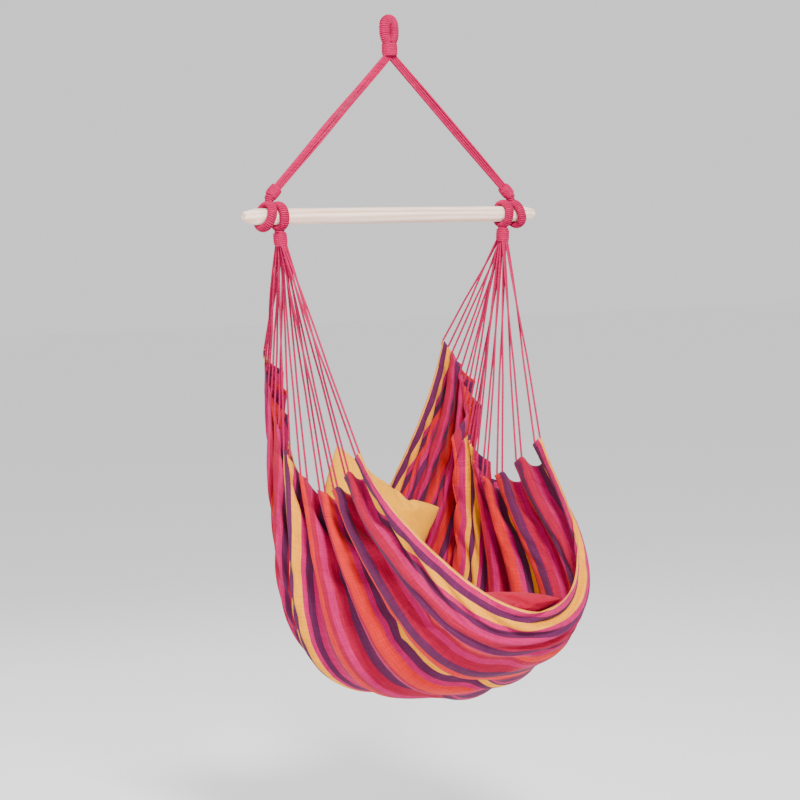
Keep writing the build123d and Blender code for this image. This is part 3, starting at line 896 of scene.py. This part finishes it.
def build_cloth():
    """The settled seat cloth: its piece, its grid of points, and their flat coordinates."""
    along = np.linspace(0, CLOTH_LENGTH, GRID_ALONG)
    across = np.linspace(0, CLOTH_WIDTH, GRID_ACROSS)
    pleated, taut = pleated_shape(along, across)
    steps = SETTLE_STEPS
    settled = settle(pleated, taut, across, steps, cushion_lenses())
    grid = refined(settled, 2)
    fine_along = np.linspace(0, CLOTH_LENGTH, grid.shape[0])
    fine_across = np.linspace(0, CLOTH_WIDTH, grid.shape[1])
    half = cloth_thickness(fine_along, fine_across)
    piece = cloth_shell(grid, fine_along, fine_across, half).piece("striped_seat_cloth", materials["striped"])
    finish_piece(piece, "seat", "striped_cloth", "seat_cloth")
    return piece, grid, fine_along, fine_across


def point_on(grid, along, across, at_along, at_across):
    """Values of a grid over the cloth, such as places or normals, at flat coordinates between its points."""
    i = np.interp(at_along, along, np.arange(len(along)))
    j = np.interp(at_across, across, np.arange(len(across)))
    i0, j0 = np.minimum(i.astype(int), len(along) - 2), np.minimum(j.astype(int), len(across) - 2)
    fi, fj = (i - i0)[..., None], (j - j0)[..., None]
    return (grid[i0, j0] * (1 - fi) * (1 - fj) + grid[i0 + 1, j0] * fi * (1 - fj)
            + grid[i0, j0 + 1] * (1 - fi) * fj + grid[i0 + 1, j0 + 1] * fi * fj)


def edge_binding(name, grid, column, radius):
    """A narrow rolled edge along one free side of the cloth."""
    surface = Surface()
    line = resampled(grid[:, column], 0.004)
    add_core(surface, line, frames_along(line), (radius, radius), around=8)
    return surface.piece(name, materials["binding"])


def stitches(name, grid, along, across):
    """Rows of sewing thread that close the side hems, on both faces of the cloth."""
    surface = Surface()
    normals = grid_normals(grid)
    share = np.linspace(0, 1, 5)
    where = np.arange(0.004, CLOTH_WIDTH - 0.006, STITCH_PITCH)[:, None] + share * STITCH_LENGTH
    height = HEM_THICKNESS / 2 + STITCH_RADIUS * (1.6 * np.sin(share * math.pi) - 0.6)
    for above_fold in STITCH_ROWS:
        for row in (HEM_DEPTH - above_fold, CLOTH_LENGTH - (HEM_DEPTH - above_fold)):
            place, lift = (point_on(field, along, across, np.full_like(where, row), where)
                           for field in (grid, normals))
            lift = unit(lift)
            for face in (1, -1):
                centre = place + lift * (face * height)[:, None]
                side = np.cross(unit(np.gradient(centre, axis=1)), lift)
                for line, *axes in zip(centre, lift, side):
                    add_core(surface, line, axes, (STITCH_RADIUS, STITCH_RADIUS), around=6, map_scale=0.001)
    return surface.piece(name, materials["thread"])


# ---------------------------------------------------------------- cushions
def cushion_frames():
    """Centre and axes of each cushion, and its half size and half thickness."""
    tilt = math.radians(SEAT_CUSHION["tilt"])
    seat_axes = Matrix.Rotation(-tilt, 3, "X")
    lean = Matrix.Rotation(math.radians(90 - BACK_CUSHION["lean"]), 3, "X")
    roll = Matrix.Rotation(math.radians(-BACK_CUSHION["roll"]), 3, "Z")
    return {
        "seat": (above_bar(*SEAT_CUSHION["centre"]), np.array(seat_axes), SEAT_CUSHION),
        "back": (above_bar(*BACK_CUSHION["centre"]), np.array(lean @ roll), BACK_CUSHION),
    }


def cushion_lenses():
    return [(centre, axes, cushion["size"] / 2, cushion["thick"] / 2)
            for centre, axes, cushion in cushion_frames().values()]


def cushion_cover(name, cushion, seed):
    """A cushion cover: two square layers sewn round their edge and blown up with cloth simulation."""
    count = COVER_COUNT
    cut = cushion["size"] * COVER_EASE
    u = np.linspace(-0.5, 0.5, count)
    grid = np.stack(np.meshgrid(u, u, indexing="ij"), axis=-1) * cut
    own = np.random.default_rng(seed)
    ripple = sum(np.sin(grid[..., 0] * own.uniform(15, 60) + own.uniform(0, 6))
                 * np.sin(grid[..., 1] * own.uniform(15, 60) + own.uniform(0, 6)) for _ in range(5)) * COVER_RIPPLE
    dome = np.clip(1 - (np.abs(grid) / (cut / 2)).max(axis=-1) ** 2, 0, 1)
    height = (dome * COVER_DOME + ripple * dome)[..., None]
    inner = np.zeros((count, count), bool)
    inner[1:-1, 1:-1] = True
    upper = np.arange(count * count).reshape(count, count)
    lower = upper.copy()
    lower[inner] = count * count + np.arange(inner.sum())
    points = np.concatenate([np.concatenate([grid, height], axis=-1).reshape(-1, 3),
                             np.concatenate([grid, -height], axis=-1)[inner]])
    flat = quad_corners(grid - grid.min())
    faces, maps = [], []
    for layer, turn in ((upper, 1), (lower, -1)):
        faces.append(np.stack(quad_corners(layer)[::turn], axis=-1).reshape(-1, 4))
        maps.append(np.stack(flat[::turn], axis=-2).reshape(-1, 4, 2))
    surface = Surface()
    surface.add(points, np.concatenate(faces), np.concatenate(maps))
    piece = surface.piece(name, materials[name])
    inflate(piece)
    return piece


def inflate(piece):
    """Blows the cover up with Blender's cloth and keeps the result."""
    scene = bpy.context.scene
    scene.frame_start, scene.frame_end = 1, LAST_FRAME
    modifier = piece.modifiers.new("blow", "CLOTH")
    modifier.settings.effector_weights.gravity = 0
    for setting, value in COVER_CLOTH.items():
        setattr(modifier.settings, setting, value)
    modifier.point_cache.frame_start, modifier.point_cache.frame_end = 1, LAST_FRAME
    frames = BLOW_FRAMES
    for number in range(1, frames + 1):
        scene.frame_set(number)
    evaluated = piece.evaluated_get(bpy.context.evaluated_depsgraph_get())
    points = np.empty(len(piece.data.vertices) * 3)
    evaluated.data.vertices.foreach_get("co", points)
    piece.modifiers.remove(modifier)
    scene.frame_set(1)
    piece.data.vertices.foreach_set("co", points)
    piece.data.update()


def place_cushion(key, name, body, slot_name, seed):
    """Sizes the blown cover to its place, tucks its corners in, and puts it in the seat."""
    centre, axes, cushion = cushion_frames()[key]
    piece = cushion_cover(name, cushion, seed)
    points = np.array([v.co for v in piece.data.vertices])
    points -= (points.max(0) + points.min(0)) / 2
    span = points.max(0) - points.min(0)
    points *= np.array([cushion["size"] / span[0], cushion["size"] / span[1], cushion["thick"] / span[2]])
    corner = (np.abs(points[:, 0] * points[:, 1]) / (cushion["size"] / 2) ** 2)[:, None] ** 2
    points[:, :2] *= 1 - CORNER_TUCK * corner
    placed = points @ axes.T + centre
    spare = np.maximum(np.abs(placed[:, 0]) - SQUASH_FROM, 0)
    squashed = SQUASH_FROM + SQUASH_ROOM * np.tanh(spare / SQUASH_ROOM)
    placed[:, 0] = np.where(spare > 0, np.sign(placed[:, 0]) * squashed, placed[:, 0])
    piece.data.vertices.foreach_set("co", placed.astype(np.float32).ravel())
    piece.data.update()
    subdivision = piece.modifiers.new("smooth", "SUBSURF")
    subdivision.levels = subdivision.render_levels = 1
    bake_modifiers(piece)
    finish_piece(piece, body, slot_name, key + "_cushion")


def bake_modifiers(piece):
    """Replaces a piece's mesh by the one its modifiers make."""
    evaluated = piece.evaluated_get(bpy.context.evaluated_depsgraph_get())
    mesh = bpy.data.meshes.new_from_object(evaluated)
    piece.modifiers.clear()
    piece.data = mesh


# ---------------------------------------------------------------- the object
materials = {
    "striped": striped_cloth_material(),
    "rope": rope_material("laid_cord", ROPE_COLOUR),
    "whipping": rope_material("whipping_twine", ROPE_COLOUR),
    "red_cover": plain_cloth_material("red_cotton", (0.42, 0.0006, 0.030), 0.0011, (1, 1.3, 1)),
    "yellow_cover": plain_cloth_material("yellow_cotton", (0.86, 0.36, 0.002), 0.0012, (1.3, 1, 1)),
    "binding": rope_material("edge_yarn", (0.62, 0.20, 0.03)),
    "thread": rope_material("sewing_thread", (0.10, 0.02, 0.035)),
    "wood": wood_material(),
}
place_camera()
light_the_set()
lay_floor()

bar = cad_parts["spreader_bar"]
bar.data.materials.clear()
bar.data.materials.append(materials["wood"])

top_eye()
whipped_neck("top_neck_whipping", np.array([0, 0, TOP_NECK["foot"]]), np.array([0, 0, TOP_NECK["head"]]),
             TOP_NECK["radius"], "suspension", 7)
for side_name, side in SIDES.items():
    suspension_leg(f"{side_name}_suspension_cords", side)
    for neck, label, body, turns in ((UPPER_NECK, "upper", "suspension", 6), (LOWER_NECK, "lower", "seat", 6)):
        foot = above_bar(side * neck["foot"][0], 0, neck["foot"][1])
        head = above_bar(side * neck["head"][0], 0, neck["head"][1])
        whipped_neck(f"{side_name}_{label}_whipping", foot, head, neck["radius"], body, turns)
    bar_eye(f"{side_name}_upper_eye", side, UPPER_EYE, (*UPPER_NECK["foot"], UPPER_NECK["radius"]), 1, "suspension")
    bar_eye(f"{side_name}_lower_eye", side, LOWER_EYE, (*LOWER_NECK["head"], LOWER_NECK["radius"]), -1, "seat")

cloth, grid, along, across = build_cloth()
for side_name, side in SIDES.items():
    hem = grid[0 if side < 0 else -1]
    for number, place in enumerate(ear_positions()):
        column = int(round(place / CLOTH_WIDTH * (len(across) - 1)))
        column = min(max(column, 2), len(across) - 3)
        name = f"{side_name}_cord_{number + 1:02d}"
        seat_cord(name, side, number, hem[column], hem[column + 2] - hem[column - 2])
sewing = stitches("hem_stitching", grid, along, across)
edges = [edge_binding(f"{end}_selvedge", grid, *edge) for end, edge in SELVEDGES.items()]
for trimming in (sewing, *edges):
    finish_piece(trimming, "seat", "striped_cloth")

place_cushion("seat", "red_cover", "loose_seat_cushion", "red_cloth", 3)
place_cushion("back", "yellow_cover", "loose_back_cushion", "yellow_cloth", 5)
